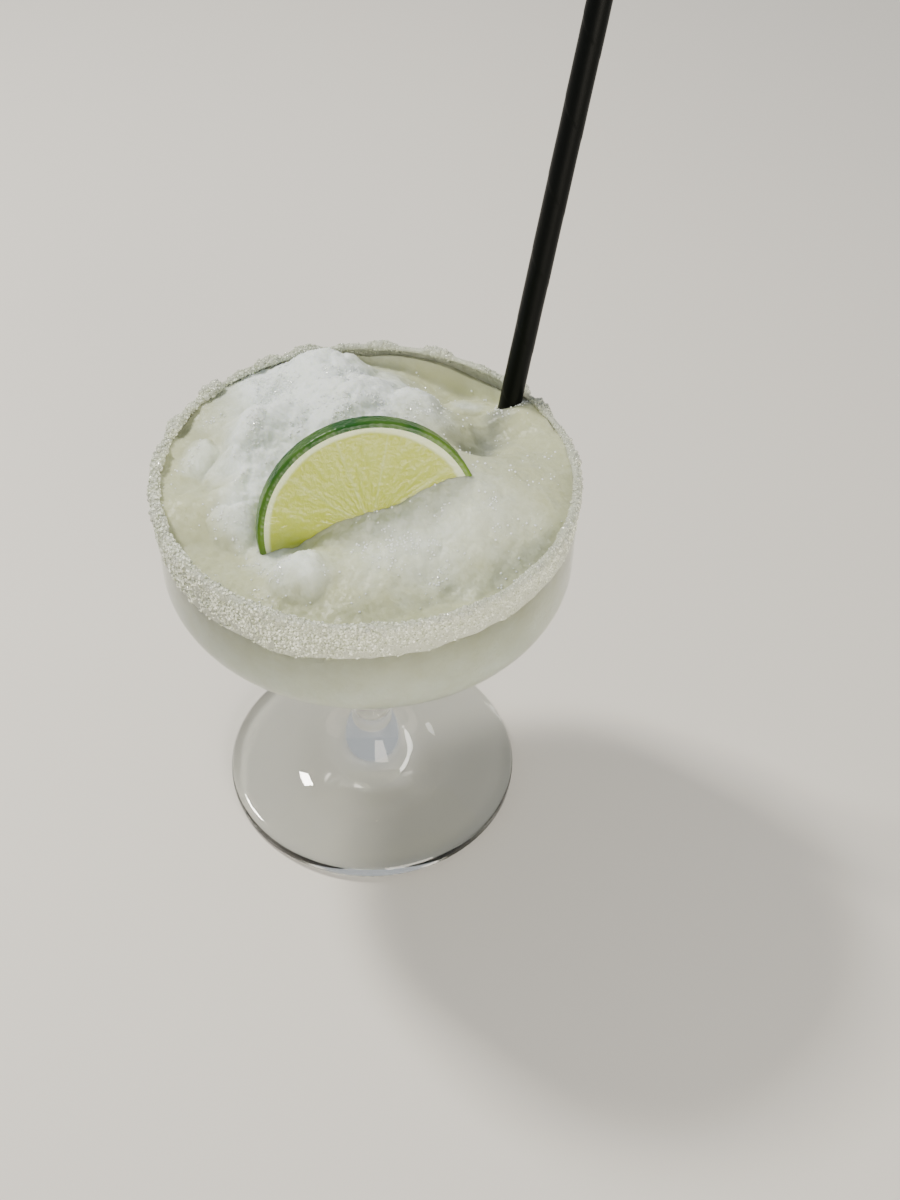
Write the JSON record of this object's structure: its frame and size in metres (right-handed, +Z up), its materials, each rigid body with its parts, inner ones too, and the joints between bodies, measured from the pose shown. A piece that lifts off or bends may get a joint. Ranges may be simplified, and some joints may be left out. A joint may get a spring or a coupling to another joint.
{
  "type": "frozen margarita",
  "caption": "Heaped white slush in a footed wide-bowl glass with a salt-crusted lip, a lime wheel and a drinking straw.",
  "frame": {"origin": "centre of the flat underside of the glass's foot", "axes": "+Z up along the glass's axis, -Y the front, where the lime's cut face looks, +X to the right; the straw leans to +X and +Y"},
  "size_m": [0.1077, 0.106, 0.2289],
  "materials": {
    "clear_glass": "polished, clear",
    "lime_slush": "wet crushed ice",
    "salt": "coarse crystals",
    "lime": "wet cut fruit with green rind",
    "black_straw": "waxed black paper, spiral wound"
  },
  "bodies": {
    "root": {"glass": "clear_glass", "slush": "lime_slush", "salt_rim": "salt", "lime_slice": "lime", "straw": "black_straw"}
  },
  "joints": []
}
